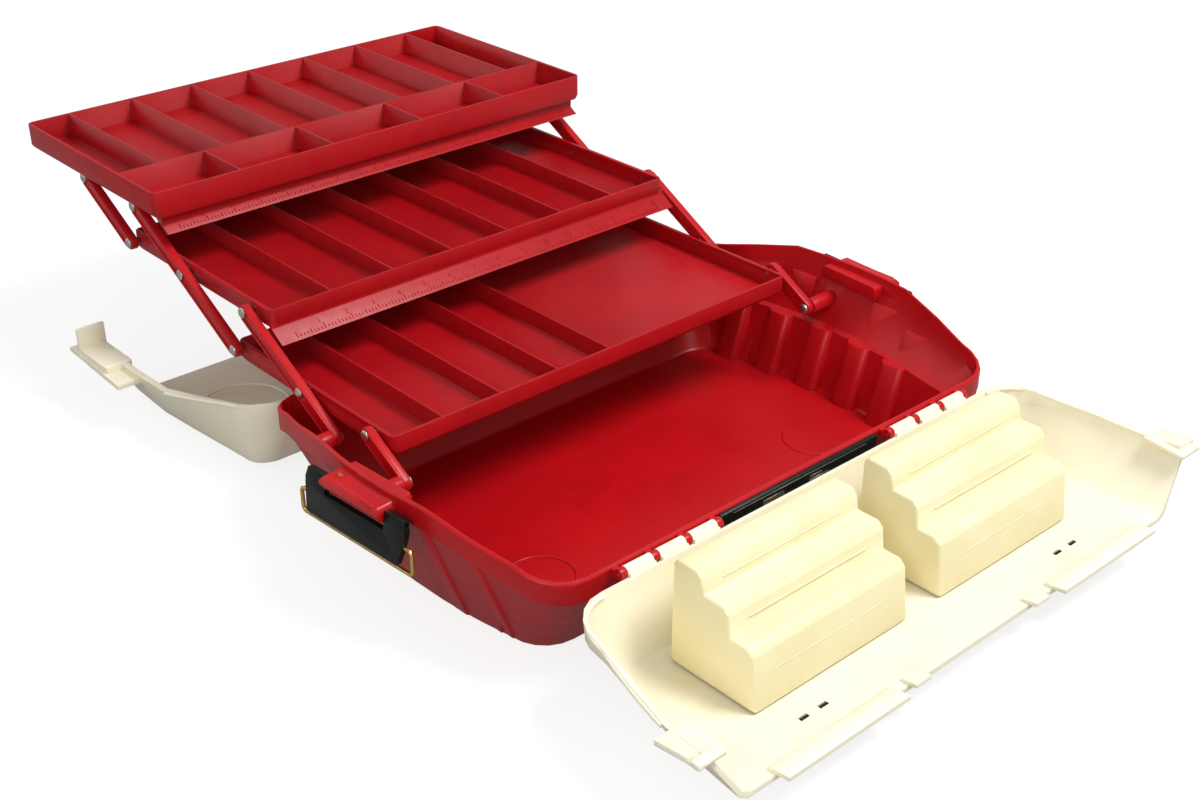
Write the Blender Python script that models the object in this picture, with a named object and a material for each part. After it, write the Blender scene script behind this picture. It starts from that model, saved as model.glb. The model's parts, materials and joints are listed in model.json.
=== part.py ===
"""A fishing tackle box with a front lid, a rear lid and three trays that fold out on links.

The box stands open. X runs along its length, Y towards the rear and Z up, and the origin is the
middle of the underside of the base. The dimensions below are in millimetres.
"""

import math

import bmesh
import bpy
from mathutils import Matrix, Vector

MM = 0.001

# Base tub
RIM_FRONT = 168.0          # from the middle to the front and rear faces of the rim
RIM_END = 234.0            # half length at the corners
RIM_BULGE = 22.0           # how much further the ends reach at mid depth
RIM_LOW = 83.0             # rim height along the front and the rear
RIM_HIGH = 108.0           # rim height over the middle of the ends
RIM_KNEE = 60.0            # the ends are level within this distance of mid depth
RIM_BAND = 17.0
FOOT_FRONT = 126.0
FOOT_END = 206.0
WALL = 3.0
END_DEPTHS = (-100.0, -60.0, -30.0, 0.0, 30.0, 60.0, 100.0)

# Lids
FRONT_AXIS = (-175.0, 81.0)      # y and z of the front lid's hinge
REAR_AXIS = (176.0, 77.0)
FRONT_OPEN = 172.0               # degrees from shut
REAR_OPEN = 177.0
FRONT_EDGE = -29.0               # where the shut lids meet
REAR_EDGE = -28.2
LID_WALL = 2.6
ROOF_LOW = 143.0
ROOF_HIGH = 160.8
HINGE_CUTS = (90.0, 119.5, 149.0, 178.0)   # the narrow knuckles of the base, each side of the middle
KNUCKLE = 4.0
PIN = 1.6

# Links and trays: y and z of each pivot with the trays out
LIFT = 29.0                      # degrees of every link above level
LINK_X = (209.0, 215.0)
LINK_WIDTH = 12.0
SHORT_FRONT, LONG_FRONT, LONG_REAR, SHORT_REAR = 46.0, 129.0, 161.5, 78.5
TRAY_STEP = 46.0                 # from a base pivot up to the lower tray's pivots
TRAY_RISE = 83.0                 # from the lower tray's pivots up to the middle tray's
BASE_PIVOTS = ((14.0, 76.0), (100.0, 76.0))
LOWER_REAR_PIVOT = 234.0
MIDDLE_REAR_PIVOT = 392.0
RIVET = 2.0
TRAY_END = 206.0

# Latch at each end
LATCH_Y = -6.0
LATCH_TURN = 4.0
LATCH_X = 264.0
LATCH_Z = 96.0
LATCH_LEAN = 12.0
PLATE_DROP = 31.0
WIRE_DROP = 19.0


# Scene, finishes and small solids

def clear_scene():
    for obj in list(bpy.data.objects):
        bpy.data.objects.remove(obj, do_unlink=True)


def collection(name, hidden=False):
    made = bpy.data.collections.new(name)
    bpy.context.scene.collection.children.link(made)
    made.hide_render = hidden
    return made


def finish(name, colour, roughness, metallic=0.0):
    made = bpy.data.materials.new(name)
    made.use_nodes = True
    shader = made.node_tree.nodes["Principled BSDF"]
    shader.inputs["Base Color"].default_value = (*colour, 1.0)
    shader.inputs["Roughness"].default_value = roughness
    shader.inputs["Metallic"].default_value = metallic
    return made


def solid(name, points, faces, material=None):
    """An object from points in millimetres, in the box's collection, or a cutter with no material."""
    mesh = bpy.data.meshes.new(name)
    mesh.from_pydata([Vector(p) * MM for p in points], [], faces)
    work = bmesh.new()
    work.from_mesh(mesh)
    bmesh.ops.recalc_face_normals(work, faces=work.faces)
    work.to_mesh(mesh)
    work.free()
    obj = bpy.data.objects.new(name, mesh)
    if material is None:
        CUTTERS.objects.link(obj)
        obj.hide_render = True
        obj.display_type = 'WIRE'
    else:
        BOX.objects.link(obj)
        mesh.materials.append(material)
    return obj


def loft(name, rings, material=None, strips=False):
    """Skins rings of points and closes both ends, with strips across where the end rings are bent."""
    count = len(rings[0])
    points = [p for ring in rings for p in ring]
    faces = []
    for level in range(len(rings) - 1):
        low = level * count
        for i in range(count):
            j = (i + 1) % count
            faces.append((low + i, low + j, low + count + j, low + count + i))
    for first in (0, len(points) - count):
        if strips:
            for i in range(count // 2 - 1):
                faces.append(tuple(first + k for k in (i, i + 1, count - 2 - i, count - 1 - i)))
        else:
            faces.append(tuple(range(first, first + count)))
    return solid(name, points, faces, material)


def prism(name, profile, start, end, material=None):
    """A profile of (y, z) points drawn out along x."""
    return loft(name, [[(x, y, z) for y, z in profile] for x in (start, end)], material)


def blocks(name, boxes, material=None):
    """Separate blocks in one mesh, each given as (x, x, y, y, z, z)."""
    points, faces = [], []
    for x0, x1, y0, y1, z0, z1 in boxes:
        first = len(points)
        points += [(x, y, z) for z in (z0, z1) for x, y in ((x0, y0), (x1, y0), (x1, y1), (x0, y1))]
        for face in ((3, 2, 1, 0), (4, 5, 6, 7), (0, 1, 5, 4), (1, 2, 6, 5), (2, 3, 7, 6), (3, 0, 4, 7)):
            faces.append(tuple(first + corner for corner in face))
    return solid(name, points, faces, material)


def rods(name, lines, segments=16, material=None):
    """Separate round rods along x in one mesh, each given as (x, x, y, z, radius)."""
    points, faces = [], []
    for x0, x1, y, z, radius in lines:
        first = len(points)
        for x in (x0, x1):
            for i in range(segments):
                turn = math.tau * i / segments
                points.append((x, y + radius * math.cos(turn), z + radius * math.sin(turn)))
        faces.append(tuple(reversed(range(first, first + segments))))
        faces.append(tuple(range(first + segments, first + 2 * segments)))
        for i in range(segments):
            j = (i + 1) % segments
            faces.append((first + i, first + j, first + segments + j, first + segments + i))
    return solid(name, points, faces, material)


def combine(obj, other, operation):
    change = obj.modifiers.new(other.name, 'BOOLEAN')
    change.operation = operation
    change.solver = 'EXACT'
    change.object = other
    return obj


def join(obj, other):
    return combine(obj, other, 'UNION')


def cut(obj, other):
    return combine(obj, other, 'DIFFERENCE')


def pivot_at(obj, y, z, x=0.0, tilt=0.0):
    """Moves the origin to the pivot, then turns the object and its cutters about it."""
    for piece in [obj] + [change.object for change in obj.modifiers]:
        piece.data.transform(Matrix.Translation((-x * MM, -y * MM, -z * MM)))
        piece.location = (x * MM, y * MM, z * MM)
        piece.rotation_euler = (math.radians(tilt), 0.0, 0.0)
    return obj


# Base

def rim_height(y):
    share = (RIM_FRONT - abs(y)) / (RIM_FRONT - RIM_KNEE)
    return RIM_LOW + (RIM_HIGH - RIM_LOW) * min(max(share, 0.0), 1.0)


def outline(depth, end, bulge, radius, height, steps=5):
    """A round-cornered rectangle with bowed ends. height is a number or a function of y."""
    flat = []
    straight = depth - radius
    for side in (1.0, -1.0):
        for depth_share in END_DEPTHS:
            y = depth_share * straight / 133.0 if abs(depth_share) > RIM_KNEE else depth_share
            flat.append((side * (end + bulge * (1 - (y / straight) ** 2)), side * y))
        for i in range(steps + 1):
            turn = math.pi / 2 * i / steps
            flat.append((
                side * (end - radius + radius * math.cos(turn)),
                side * (straight + radius * math.sin(turn)),
            ))
        for i in range(steps + 1):
            turn = math.pi / 2 * (1 + i / steps)
            flat.append((
                side * (radius - end + radius * math.cos(turn)),
                side * (straight + radius * math.sin(turn)),
            ))
    level = height if callable(height) else (lambda y: height)
    return [(x, y, level(y)) for x, y in flat]


def knuckle_webs(axis, low, high, inner):
    y, _ = axis
    reach = (y, inner) if y < inner else (inner, y)
    return [
        (side * x - 2.5, side * x + 2.5, *reach, low, high)
        for side in (-1, 1) for x in HINGE_CUTS
    ]


def base_tub(material):
    band = lambda y: rim_height(y) - RIM_BAND
    tub = loft("base_tub", [
        outline(FOOT_FRONT, FOOT_END, 10, 30, 0.0),
        outline(FOOT_FRONT + 3, FOOT_END + 3, 10, 32, 4.0),
        outline(RIM_FRONT - 5, RIM_END - 4, RIM_BULGE, 33, lambda y: band(y) - 1),
        outline(RIM_FRONT, RIM_END, RIM_BULGE, 35, band),
        outline(RIM_FRONT, RIM_END, RIM_BULGE, 35, lambda y: rim_height(y) - 1.5),
        outline(RIM_FRONT - 1.5, RIM_END - 1.5, RIM_BULGE, 34, rim_height),
        outline(RIM_FRONT - WALL, RIM_END - WALL, RIM_BULGE, 32, lambda y: rim_height(y) - 0.5),
        outline(RIM_FRONT - WALL - 1, RIM_END - WALL - 1, RIM_BULGE, 32, lambda y: band(y) + 4),
        outline(RIM_FRONT - 14.5, RIM_END - 20, RIM_BULGE - 4, 28, 57.0),
        outline(RIM_FRONT - 16, RIM_END - 23, RIM_BULGE - 6, 28, 55.0),
        outline(FOOT_FRONT - 0.5, FOOT_END - 0.5, 9, 28, 5.0),
        outline(FOOT_FRONT - 2.5, FOOT_END - 3, 9, 27, 3.0),
    ], material)
    webs = []
    barrels = []
    bores = []
    for (y, z), inner, high in ((FRONT_AXIS, -166.0, 82.5), (REAR_AXIS, 166.0, 79.0)):
        webs += knuckle_webs((y, z), z - 4.0, high, inner)
        for side in (-1, 1):
            barrels += [(side * x - 2.5, side * x + 2.5, y, z, KNUCKLE) for x in HINGE_CUTS]
            bores.append((side * 134 - 60, side * 134 + 60, y, z, PIN + 0.1))
    join(tub, blocks("base_knuckle_webs", webs))
    join(tub, rods("base_knuckle_barrels", barrels))
    # The folding links turn on bosses that stand in from the end walls.
    bosses = []
    for side in (-1, 1):
        for (y, z), reach in zip(BASE_PIVOTS, (243.5, 235.5)):
            bosses.append((side * 215.6, side * reach, y, z, 7.0))
    join(tub, rods("base_link_bosses", bosses))
    for side in (-1, 1):
        join(tub, latch_ledge(side))
    holes = [(side * 210.0, side * 226.0, y, z, RIVET + 0.05) for side in (-1, 1) for y, z in BASE_PIVOTS]
    cut(tub, rods("base_bores", bores + holes))
    cut(tub, latch_bores("ledge_bore", 34.0))
    return tub


def label_plate(material):
    section = [(-171.3, 64.5), (-168.4, 64.5), (-168.4, 81.5), (-171.3, 80.5)]
    return prism("label_plate", section, -82, 82, material)


# Latches

def latch_solid(name, side, rings, material=None):
    placed = []
    for ring in rings:
        placed.append([tuple(latch_point(side, *p)) for p in ring])
    return loft(name, placed, material)


def latch_point(side, x, y, z):
    """side is -1 at the left end. x is measured outwards from the latch's pin."""
    turn = math.radians(LATCH_TURN)
    out = x * math.cos(turn) + y * math.sin(turn)
    back = y * math.cos(turn) - x * math.sin(turn)
    return (side * (LATCH_X + out), LATCH_Y + back, LATCH_Z + z)


def latch_ring(x0, x1, half, z):
    return [(x0, -half, z), (x1, -half, z), (x1, half, z), (x0, half, z)]


def latch_ledge(side):
    return latch_solid(f"latch_ledge_{side}", side, [
        latch_ring(-22, 5.0, 31, -4.5), latch_ring(-22, 8.5, 31, 1.0),
        latch_ring(-22, 8.5, 31, 3.5), latch_ring(-22, 6.0, 29, 6.5),
    ])


def latch_rod(name, side, spans, material=None, segments=14):
    """Round rods along the latch's own length, each (x, z, radius, from, to)."""
    rings = []
    for x, z, radius, place in spans:
        rings.append([
            latch_point(side, x + radius * math.cos(math.tau * i / segments), place,
                        z + radius * math.sin(math.tau * i / segments))
            for i in range(segments)
        ])
    return loft(name, rings, material)


def latch_bores(name, half):
    both = latch_rod(f"{name}_left", -1, [(0, 0, 1.35, -half), (0, 0, 1.35, half)])
    other = latch_rod(f"{name}_right", 1, [(0, 0, 1.35, -half), (0, 0, 1.35, half)])
    joined = both.data
    work = bmesh.new()
    work.from_mesh(joined)
    work.from_mesh(other.data)
    work.to_mesh(joined)
    work.free()
    bpy.data.objects.remove(other, do_unlink=True)
    return both


def lean(x, z):
    """A point of the hanging latch plate, turned out by its lean."""
    turn = math.radians(LATCH_LEAN)
    return (x * math.cos(turn) - z * math.sin(turn), x * math.sin(turn) + z * math.cos(turn))


def latch_plate(side, word, material):
    def ring(x0, x1, half, z):
        return [(*lean(x0, z)[:1], -half, lean(x0, z)[1]), (lean(x1, z)[0], -half, lean(x1, z)[1]),
                (lean(x1, z)[0], half, lean(x1, z)[1]), (lean(x0, z)[0], half, lean(x0, z)[1])]
    plate = latch_solid(f"latch_plate_{word}", side, [
        ring(-2.0, 1.5, 46, -PLATE_DROP), ring(-2.0, 2.5, 49, -PLATE_DROP + 2),
        ring(-2.0, 2.5, 53, -9), ring(-2.0, 3.0, 53, -4.0), ring(-2.0, 3.0, 51, 3.5),
    ], material)
    gap = latch_solid(f"latch_plate_gap_{word}", side, [
        latch_ring(-12, 14, 31.5, -10.2), latch_ring(-12, 14, 31.5, 12),
    ])
    cut(plate, gap)
    cut(plate, latch_rod(f"latch_plate_bore_{word}", side, [(0, 0, 1.35, -60), (0, 0, 1.35, 60)]))
    x, z = lean(0.2, -16.0)
    cut(plate, latch_rod(f"latch_wire_bore_{word}", side, [(x, z, 1.25, -60), (x, z, 1.25, 60)]))
    origin_on_latch(plate, side, 0, 0)
    return plate


def origin_on_latch(obj, side, x, z):
    place = Vector(latch_point(side, x, 0, z)) * MM
    obj.data.transform(Matrix.Translation(-place))
    obj.location = place


def latch_wire(side, word, material):
    """A bent wire loop whose two ends turn in the plate."""
    x, z = lean(0.2, -16.0)
    bend = 3.0
    drop = z - WIRE_DROP
    path = [(44, z), (56, z), (58, z - 0.8), (59, z - bend), (59, drop + bend), (58, drop + 0.8), (56, drop)]
    path = [(y, h) for y, h in path] + [(-y, h) for y, h in reversed(path)]
    rings = []
    for i, (y, h) in enumerate(path):
        before = path[max(i - 1, 0)]
        after = path[min(i + 1, len(path) - 1)]
        along = Vector((after[0] - before[0], after[1] - before[1])).normalized()
        rings.append([
            latch_point(side, x + 1.1 * math.cos(math.tau * k / 8),
                        y - along.y * 1.1 * math.sin(math.tau * k / 8),
                        h + along.x * 1.1 * math.sin(math.tau * k / 8))
            for k in range(8)
        ])
    wire = loft(f"latch_wire_{word}", rings, material)
    origin_on_latch(wire, side, x, z)
    return wire


def latch_pin(side, word, material):
    return latch_rod(f"latch_pin_{word}", side, [(0, 0, 1.25, -49.0), (0, 0, 1.25, 49.0)], material)


# Lids, drawn shut and then turned open about their hinges

def roof_height(y):
    """The outside of the shut roof, which climbs from both hinges to a level middle."""
    if y < FRONT_EDGE:
        return ROOF_LOW + (ROOF_HIGH - ROOF_LOW) * (y + 156) / (156 + FRONT_EDGE)
    return ROOF_HIGH - (ROOF_HIGH - ROOF_LOW) * max(y - 20, 0) / 136


def lid_outline(hinge, edge, end, bulge, radius, height, steps=5):
    """One lid's outline: the ends run from the meeting edge back to round corners at the hinge side."""
    sign = 1.0 if hinge > 0 else -1.0
    depth = abs(hinge)
    straight = depth - radius
    near = edge * sign
    places = [near] + [p for p in (-30.0, 0.0, 20.0, 60.0, 100.0) if near + 4 < p < straight - 8]
    while len(places) < (6 if hinge > 0 else 3):
        places.append((places[-1] + straight) / 2)
    half = [(end + bulge * (1 - (p / 133) ** 2), p) for p in places]
    for i in range(steps + 1):
        turn = math.pi / 2 * i / steps
        half.append((end - radius + radius * math.cos(turn), straight + radius * math.sin(turn)))
    ring = half + [(-x, y) for x, y in reversed(half)]
    ring = [(x, sign * y) for x, y in ring]
    if sign < 0:
        ring.reverse()
    level = height if callable(height) else (lambda y: height)
    return [(x, y, level(y)) for x, y in ring]


def lid_block(name, hinge, edge, inset, floor_drop, material=None):
    """The lid as a solid block, or its hollow when inset is the wall's thickness."""
    sign = 1.0 if hinge > 0 else -1.0
    depth = abs(hinge) - inset
    past = edge - sign * (40.0 if inset else 0.0)
    steep = 2.0 if hinge > 0 else 8.0
    # The front lid's roof narrows towards its hinge. The rear lid's stays wide over the upper tray.
    rear_hips = ((231, 5, 20), (228.5, 2, 17), (221, 0, 13))
    front_hips = ((212, 21, 26), (206, 22, 24), (199, 22, 20))
    hips = rear_hips if hinge > 0 else front_hips
    levels = [
        (depth, RIM_END - inset, RIM_BULGE, 35 - inset, lambda y: rim_height(y) + 0.6 - floor_drop),
        (depth, RIM_END - inset, RIM_BULGE - 4, 35 - inset, lambda y: max(rim_height(y) + 9, 100.0)),
        (depth - steep, hips[0][0] - inset, *hips[0][1:], lambda y: roof_height(y) - 13 - inset * 0.5),
        (depth - steep - 3, hips[1][0] - inset, *hips[1][1:], lambda y: roof_height(y) - 4 - inset * 0.8),
        (depth - steep - 9, hips[2][0] - inset, *hips[2][1:], lambda y: roof_height(y) - inset),
    ]
    rings = [lid_outline(sign * d, past, end, bulge, r, h) for d, end, bulge, r, h in levels]
    return loft(name, rings, material, strips=True)


def lid_ears(name, axis_sign):
    boxes = []
    for side in (-1, 1):
        if axis_sign < 0:
            boxes.append((*sorted((side * 246.0, side * 264.0)), -57.0, -29.5, 109.0, 113.0))
        else:
            boxes.append((*sorted((side * 247.0, side * 272.0)), -27.8, 24.0, 114.0, 118.0))
    return blocks(name, boxes)


def lid(name, axis, edge, opened, material):
    y, z = axis
    sign = 1.0 if y > 0 else -1.0
    face = sign * (abs(y) - 4.0)
    shell = lid_block(name, face, edge, 0.0, 0.0, material)
    cut(shell, lid_block(f"{name}_hollow", face, edge, LID_WALL, 30.0))
    # Knuckles between those of the base
    webs, barrels, bores = [], [], []
    for side in (-1, 1):
        for first, last in zip(HINGE_CUTS, HINGE_CUTS[1:]):
            x0, x1 = sorted((side * (first + 3.0), side * (last - 3.0)))
            y0, y1 = sorted((y + sign * 3.4, face - sign * 2.0))
            webs.append((x0, x1, y0, y1, z, rim_height(y) + 9))
            barrels.append((x0, x1, y, z, KNUCKLE))
        bores.append((side * 134 - 60, side * 134 + 60, y, z, PIN + 0.1))
    join(shell, blocks(f"{name}_webs", webs))
    join(shell, rods(f"{name}_barrels", barrels))
    join(shell, lid_ears(f"{name}_ears", sign))
    if sign > 0:
        # The rear ears reach on over the front ones, outside the front lid's end walls.
        reach = [(*sorted((side * 257.5, side * 272.0)), -60.0, -20.0, 114.4, 117.6) for side in (-1, 1)]
        join(shell, blocks(f"{name}_ear_tips", reach))
    cut(shell, rods(f"{name}_bores", bores))
    if sign < 0:
        roots, tabs = [], []
        for side in (-1, 1):
            for inner, outer, reach in ((84.0, 196.0, -18.0), (57.0, 72.0, -23.0)):
                x0, x1 = sorted((side * inner, side * outer))
                roots.append((x0, x1, -36.0, -30.5, 156.0, 159.0))
                tabs.append((x0, x1, -35.0, reach, 154.2, 157.2))
        join(shell, blocks(f"{name}_tab_roots", roots))
        join(shell, blocks(f"{name}_tabs", tabs))
        slots = [
            (side * x - 4.0, side * x + 4.0, -55.5, -51.5, 140.0, 170.0)
            for side in (-1, 1) for x in (126.0, 144.0)
        ]
        cut(shell, blocks(f"{name}_slots", slots))
    pivot_at(shell, y, z, tilt=-sign * opened)
    return shell


def hinge_pins(axis, word, material):
    y, z = axis
    for side, hand in ((-1, "left"), (1, "right")):
        x0, x1 = sorted((side * 88.5, side * 180.0))
        rods(f"{word}_hinge_pin_{hand}", [(x0, x1, y, z, PIN)], 14, material)


def lid_module(side, word, material):
    """The stepped storage case inside the front lid, drawn with the lid open and open towards the roof."""
    base = 26.4

    def profile(inset, low):
        return [
            (-209 - inset, low), (-210 - inset, 102 - inset), (-214 - inset, 106 - inset),
            (-230 + inset, 106 - inset), (-235 + inset, 101 - inset), (-237 + inset, 91 - inset),
            (-254 + inset, 91 - inset), (-259 + inset, 86 - inset), (-261 + inset, 71 - inset),
            (-275 + inset, 71 - inset), (-280 + inset, 66 - inset), (-285 + inset, low),
        ]

    x0, x1 = sorted((side * 17.5, side * 166.0))
    case = prism(f"stepped_case_{word}", profile(0, base), x0, x1, material)
    cut(case, prism(f"stepped_case_hollow_{word}", profile(2.0, base - 5), x0 + 2, x1 - 2))
    pivot_at(case, *FRONT_AXIS)
    return case


# Carrying handle on the outside of the front lid

def front_lid_point(y, z):
    """Where a point of the shut front lid stands once the lid is open."""
    turn = math.radians(FRONT_OPEN)
    dy, dz = y - FRONT_AXIS[0], z - FRONT_AXIS[1]
    return (FRONT_AXIS[0] + dy * math.cos(turn) - dz * math.sin(turn),
            FRONT_AXIS[1] + dy * math.sin(turn) + dz * math.cos(turn))


def handle(material):
    """A flat bail whose feet turn in two brackets, folded against the roof towards the hinge."""
    y0, z0 = front_lid_point(-53.5, 158.6)
    top = z0 - 0.6
    for side, word in ((-1, "left"), (1, "right")):
        plate = (side * 135 - 17, side * 135 + 17, y0 - 7, y0 + 7, top - 12, top)
        bracket = blocks(f"handle_bracket_{word}", [plate], material)
        prongs = [
            (side * x - 3.4, side * x + 3.4, y0 - 0.9, y0 + 0.9, top - 4, top + 5.0)
            for x in (126.0, 144.0)
        ]
        join(bracket, blocks(f"handle_prongs_{word}", prongs))
        fork = (side * 135 - 8.5, side * 135 + 8.5, y0 - 12, y0 + 12, top - 16, top - 2.2)
        cut(bracket, blocks(f"handle_fork_{word}", [fork]))
        cut(bracket, rods(f"handle_bore_{word}", [(side * 135 - 13, side * 135 + 13, y0, top - 7.5, 2.6)]))
    grip_y = (y0 + 34.0, y0 + 58.0)
    low, high = top - 11.5, top - 3.6
    bail = blocks("carry_handle", [(-143, 143, *grip_y, low, high)], material)
    arms = [
        (side * 135 - 8, side * 135 + 8, y0 - 2.8, grip_y[0] + 4, low + 0.3, high - 0.3)
        for side in (-1, 1)
    ]
    join(bail, blocks("handle_arms", arms))
    studs = [(side * 135 - 12.5, side * 135 + 12.5, y0, top - 7.5, 2.4) for side in (-1, 1)]
    join(bail, rods("handle_studs", studs))
    pivot_at(bail, y0, top - 7.5)
    return bail


# Trays

def tray_outline(y0, y1, half, radius, z, steps=3):
    ring = []
    for cx, cy, start in ((half - radius, y1 - radius, 0.0), (radius - half, y1 - radius, 0.5),
                          (radius - half, y0 + radius, 1.0), (half - radius, y0 + radius, 1.5)):
        for i in range(steps + 1):
            turn = math.pi * (start + 0.5 * i / steps)
            ring.append((cx + radius * math.cos(turn), cy + radius * math.sin(turn), z))
    return ring


def tray(name, rings, pockets, lip, lugs, holes, material):
    """rings are (front, rear, half length, height). pockets are (x, x, y, y) down to their own floor."""
    body = loft(name, [tray_outline(y0, y1, half, 6.0, z) for y0, y1, half, z in rings], material)
    cut(body, blocks(f"{name}_pockets", pockets))
    if lip:
        half, profile = lip
        join(body, prism(f"{name}_lip", profile, -half, half))
    if lugs:
        join(body, blocks(f"{name}_lugs", lugs))
    bores = [(side * 190.0, side * 230.0, y, z, RIVET + 0.05) for side in (-1, 1) for y, z in holes]
    cut(body, rods(f"{name}_bores", [(min(a, b), max(a, b), y, z, r) for a, b, y, z, r in bores]))
    return body


def row(edges, y0, y1, z0, z1, divider=1.8):
    """Pockets between walls that stand at the given places along x."""
    pockets = []
    for a, b in zip(edges, edges[1:]):
        pockets.append((a + divider / 2, b - divider / 2, y0, y1, z0, z1))
    return pockets


def up_link(y, z, length):
    turn = math.radians(LIFT)
    return (y + length * math.cos(turn), z + length * math.sin(turn))


def pivots():
    """The (y, z) of every pivot, by link: base or lower end first."""
    front, rear = BASE_PIVOTS
    lower_rear = (LOWER_REAR_PIVOT, up_link(*front, TRAY_STEP)[1])
    middle_rear = (MIDDLE_REAR_PIVOT, up_link(*rear, LONG_FRONT)[1])
    return {
        "short_front_link": [front, up_link(*front, SHORT_FRONT)],
        "long_front_link": [rear, up_link(*rear, TRAY_STEP), up_link(*rear, LONG_FRONT)],
        "long_rear_link": [lower_rear, up_link(*lower_rear, TRAY_RISE), up_link(*lower_rear, LONG_REAR)],
        "short_rear_link": [middle_rear, up_link(*middle_rear, SHORT_REAR)],
    }


def lower_tray(material):
    places = pivots()
    holes = [places["short_front_link"][1], places["long_front_link"][1], places["long_rear_link"][0]]
    edges = (-203.5, -160, -106, -50, 3, 203.5)
    return tray(
        "lower_tray",
        [(37, 241, 203.5, 84.3), (34, 243, TRAY_END, 88), (34, 243, TRAY_END, 101.5)],
        row(edges, 36.2, 240.8, 86.4, 120), None, None, holes, material)


def middle_tray(material):
    places = pivots()
    holes = [places["long_front_link"][2], places["long_rear_link"][1], places["short_rear_link"][0]]
    edges = (-203.5, -150, -91, -32, 27, 86, 145, 203.5)
    lip = [(173.0, 122.0), (175.0, 121.4), (189.5, 130.2), (190.5, 134.5), (187.5, 134.5), (186.5, 131.0)]
    return tray(
        "middle_tray",
        [(190, 398, 203.5, 129.6), (187, 400, TRAY_END, 133), (187, 400, TRAY_END, 145.8)],
        row(edges, 189.2, 397.8, 131.7, 160), (TRAY_END, lip), None, holes, material)


def upper_tray(material):
    places = pivots()
    holes = [places["long_rear_link"][2], places["short_rear_link"][1]]
    pockets = row((-221.8, -143, -53, 40, 132, 221.8), 321.2, 378.1, 185.6, 220)
    pockets += row((-221.8, -184, -123, -62, -1, 60, 121, 182, 221.8), 379.9, 540.8, 185.6, 220)
    lip = [(316.0, 170.4), (318.0, 169.6), (333.5, 178.6), (333.5, 184.5), (324.0, 184.5), (324.0, 175.4)]
    lugs = []
    for side in (-1, 1):
        x0, x1 = sorted((side * 200.0, side * 205.6))
        lugs += [(x0, x1, y - 9, y + 9, 172.0, 184.5) for y, _ in holes]
    return tray(
        "upper_tray",
        [(322, 540, 200, 183.6), (319, 543, 221, 183.9), (319, 543, 223.6, 187), (319, 543, 223.6, 205.6)],
        pockets, (216.0, lip), lugs, holes, material)


# Links and rivets

def link(name, places, side, word, material):
    start = places[0]
    length = math.dist(start, places[-1])
    radius = LINK_WIDTH / 2
    profile = []
    for cy, first in ((length, -0.5), (0.0, 0.5)):
        for i in range(7):
            turn = math.pi * (first + i / 6)
            profile.append((start[0] + cy + radius * math.cos(turn), start[1] + radius * math.sin(turn)))
    x0, x1 = sorted((side * LINK_X[0], side * LINK_X[1]))
    bar = prism(f"{name}_{word}", profile, x0, x1, material)
    holes = []
    for place in places:
        holes.append((x0 - 3, x1 + 3, start[0] + math.dist(start, place), start[1], RIVET + 0.08))
    cut(bar, rods(f"{name}_holes_{word}", holes))
    pivot_at(bar, *start, x=side * LINK_X[0], tilt=LIFT)
    return bar


def rivet(name, y, z, side, stations, material):
    """A headed rivet along x. stations are (x, radius)."""
    rings = []
    for x, radius in stations:
        rings.append([
            (side * x, y + radius * math.cos(math.tau * i / 14), z + radius * math.sin(math.tau * i / 14))
            for i in range(14)
        ])
    return loft(name, rings, material)


def linkage(red, steel):
    outer = [(203.8, RIVET), (215.3, RIVET), (215.3, 4.6), (216.4, 4.2), (217.2, 2.6)]
    inner = [(206.9, 2.8), (207.4, 4.2), (208.7, 4.6), (208.7, RIVET), (225.0, RIVET)]
    for name, places in pivots().items():
        for side, word in ((-1, "left"), (1, "right")):
            link(name, places, side, word, red)
            for number, (y, z) in enumerate(places):
                at_base = (y, z) in BASE_PIVOTS
                rivet(f"{name}_rivet_{number + 1}_{word}", y, z, side, inner if at_base else outer, steel)


clear_scene()
BOX = collection("fishing_tackle_box")
CUTTERS = collection("cutters", hidden=True)
RED = finish("red_polypropylene", (0.58, 0.012, 0.016), 0.3)
IVORY = finish("ivory_polypropylene", (0.88, 0.83, 0.66), 0.42)
CREAM = finish("cream_polypropylene", (0.89, 0.82, 0.58), 0.45)
BLACK = finish("black_nylon", (0.012, 0.014, 0.015), 0.38)
BRASS = finish("brass_wire", (0.65, 0.5, 0.26), 0.3, 1.0)
STEEL = finish("zinc_steel", (0.62, 0.62, 0.6), 0.35, 1.0)

base_tub(RED)
label_plate(BLACK)
lid("front_lid", FRONT_AXIS, FRONT_EDGE, FRONT_OPEN, IVORY)
lid("rear_lid", REAR_AXIS, REAR_EDGE, REAR_OPEN, IVORY)
hinge_pins(FRONT_AXIS, "front", STEEL)
hinge_pins(REAR_AXIS, "rear", STEEL)
handle(BLACK)
for SIDE, WORD in ((-1, "left"), (1, "right")):
    lid_module(SIDE, WORD, CREAM)
    latch_plate(SIDE, WORD, BLACK)
    latch_wire(SIDE, WORD, BRASS)
    latch_pin(SIDE, WORD, BRASS)
lower_tray(RED)
middle_tray(RED)
upper_tray(RED)
linkage(RED, STEEL)
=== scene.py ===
"""The finished look of an open fishing tackle box with fanned-out trays."""

import json
import logging
import math
from dataclasses import dataclass, field
from enum import Enum
from typing import Callable, Iterable

import bmesh
import bpy
from mathutils import Matrix, Vector
from mathutils.bvhtree import BVHTree

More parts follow.
